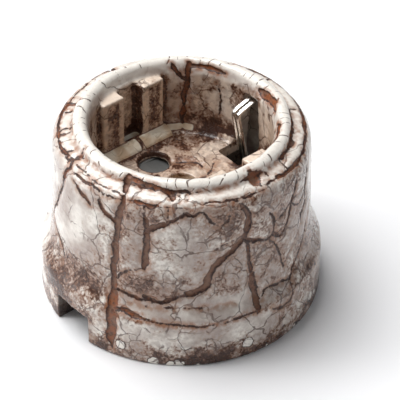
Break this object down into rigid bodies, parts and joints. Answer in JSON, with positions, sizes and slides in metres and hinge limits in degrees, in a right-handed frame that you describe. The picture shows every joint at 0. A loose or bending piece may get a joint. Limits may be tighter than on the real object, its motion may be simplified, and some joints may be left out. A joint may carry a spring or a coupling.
{
  "type": "surface-mounted socket outlet",
  "caption": "Round surface-mounted porcelain wall socket with side earth clips: glazed cover over a base with contacts, rising-cage terminals and a turning shutter.",
  "frame": {"origin": "centre of the back face that lies on the wall", "axes": "+Z out of the wall, X along the line of the two pins, +Y towards the rear earth clip"},
  "size_m": [0.063, 0.063, 0.0442],
  "materials": {
    "glaze": "white porcelain under a glossy marbled crackle glaze, brown veins and stains",
    "steatite": "unglazed cream steatite, matt and faintly grainy",
    "fibre": "dark brown pressed fibre",
    "grey_plastic": "blue-grey moulded plastic",
    "brass": "plain brass, slightly dulled",
    "nickel": "nickel-plated brass, bright",
    "steel": "zinc-plated steel, satin"
  },
  "bodies": {
    "base": {"backing_plate": "fibre", "contact_base": "steatite", "brass_insert": "brass", "line_contact_left": "brass", "line_contact_right": "brass", "contact_spring_left": "steel", "contact_spring_right": "steel", "contact_screw_left": "steel", "contact_screw_right": "steel", "earth_strap": "nickel", "earth_strap_screw_front": "steel", "earth_strap_screw_rear": "steel", "earth_clip_rivet_front": "steel", "earth_clip_rivet_rear": "steel", "shutter_carrier": "grey_plastic", "shutter_spring": "steel"},
    "cover": {"porcelain_cover": "glaze"},
    "screw_washer": {"cover_screw_washer": "fibre"},
    "cover_screw": {"cover_screw": "brass"},
    "shutter": {"shutter_disc": "grey_plastic"},
    "clip_front": {"earth_clip_front": "nickel"},
    "clip_rear": {"earth_clip_rear": "nickel"},
    "screw_right": {"terminal_screw_right": "steel"},
    "cage_right": {"terminal_cage_right": "nickel"},
    "screw_left": {"terminal_screw_left": "steel"},
    "cage_left": {"terminal_cage_left": "nickel"},
    "screw_earth": {"terminal_screw_earth": "steel"},
    "cage_earth": {"terminal_cage_earth": "nickel"}
  },
  "joints": [
    {"name": "cover_lift", "type": "slide", "parent": "base", "child": "cover", "axis": [0, 0, 1], "range_m": [0, 0.045]},
    {"name": "cover_screw_rise", "type": "slide", "parent": "cover", "child": "screw_washer", "axis": [0, 0, 1], "range_m": [0, 0.00595]},
    {"name": "cover_screw_turn", "type": "hinge", "parent": "screw_washer", "child": "cover_screw", "pos_m": [0, 0, 0.0241], "axis": [0, 0, 1], "range_deg": [0, 3060]},
    {"name": "shutter_turn", "type": "hinge", "parent": "base", "child": "shutter", "pos_m": [0, 0, 0.0233], "axis": [0, 0, 1], "range_deg": [0, 50], "stiffness_Nm_per_rad": 0.002, "springref_deg": -17.19},
    {"name": "earth_clip_front_flex", "type": "hinge", "parent": "base", "child": "clip_front", "pos_m": [0, -0.01865, 0.0105], "axis": [1, 0, 0], "range_deg": [0, 5], "stiffness_Nm_per_rad": 0.3, "springref_deg": -5.73},
    {"name": "earth_clip_rear_flex", "type": "hinge", "parent": "base", "child": "clip_rear", "pos_m": [0, 0.01865, 0.0105], "axis": [-1, 0, 0], "range_deg": [0, 5], "stiffness_Nm_per_rad": 0.3, "springref_deg": -5.73},
    {"name": "terminal_screw_right_turn", "type": "hinge", "parent": "base", "child": "screw_right", "pos_m": [0.01649, 0.01048, 0.019], "axis": [0, 0, -1], "range_deg": [0, 1764]},
    {"name": "terminal_cage_right_rise", "type": "slide", "parent": "base", "child": "cage_right", "axis": [0, 0, 1], "range_m": [0, 0.00245]},
    {"name": "terminal_screw_left_turn", "type": "hinge", "parent": "base", "child": "screw_left", "pos_m": [-0.01649, -0.01048, 0.019], "axis": [0, 0, -1], "range_deg": [0, 1764]},
    {"name": "terminal_cage_left_rise", "type": "slide", "parent": "base", "child": "cage_left", "axis": [0, 0, 1], "range_m": [0, 0.00245]},
    {"name": "terminal_screw_earth_turn", "type": "hinge", "parent": "base", "child": "screw_earth", "pos_m": [0.01, -0.0165, 0.019], "axis": [0, 0, -1], "range_deg": [0, 1764]},
    {"name": "terminal_cage_earth_rise", "type": "slide", "parent": "base", "child": "cage_earth", "axis": [0, 0, 1], "range_m": [0, 0.00245]}
  ],
  "couplings": [
    {"joint": "cover_screw_turn", "follows": "cover_screw_rise", "rad_per_m": 8976},
    {"joint": "terminal_screw_right_turn", "follows": "terminal_cage_right_rise", "rad_per_m": 12566},
    {"joint": "terminal_screw_left_turn", "follows": "terminal_cage_left_rise", "rad_per_m": 12566},
    {"joint": "terminal_screw_earth_turn", "follows": "terminal_cage_earth_rise", "rad_per_m": 12566}
  ]
}
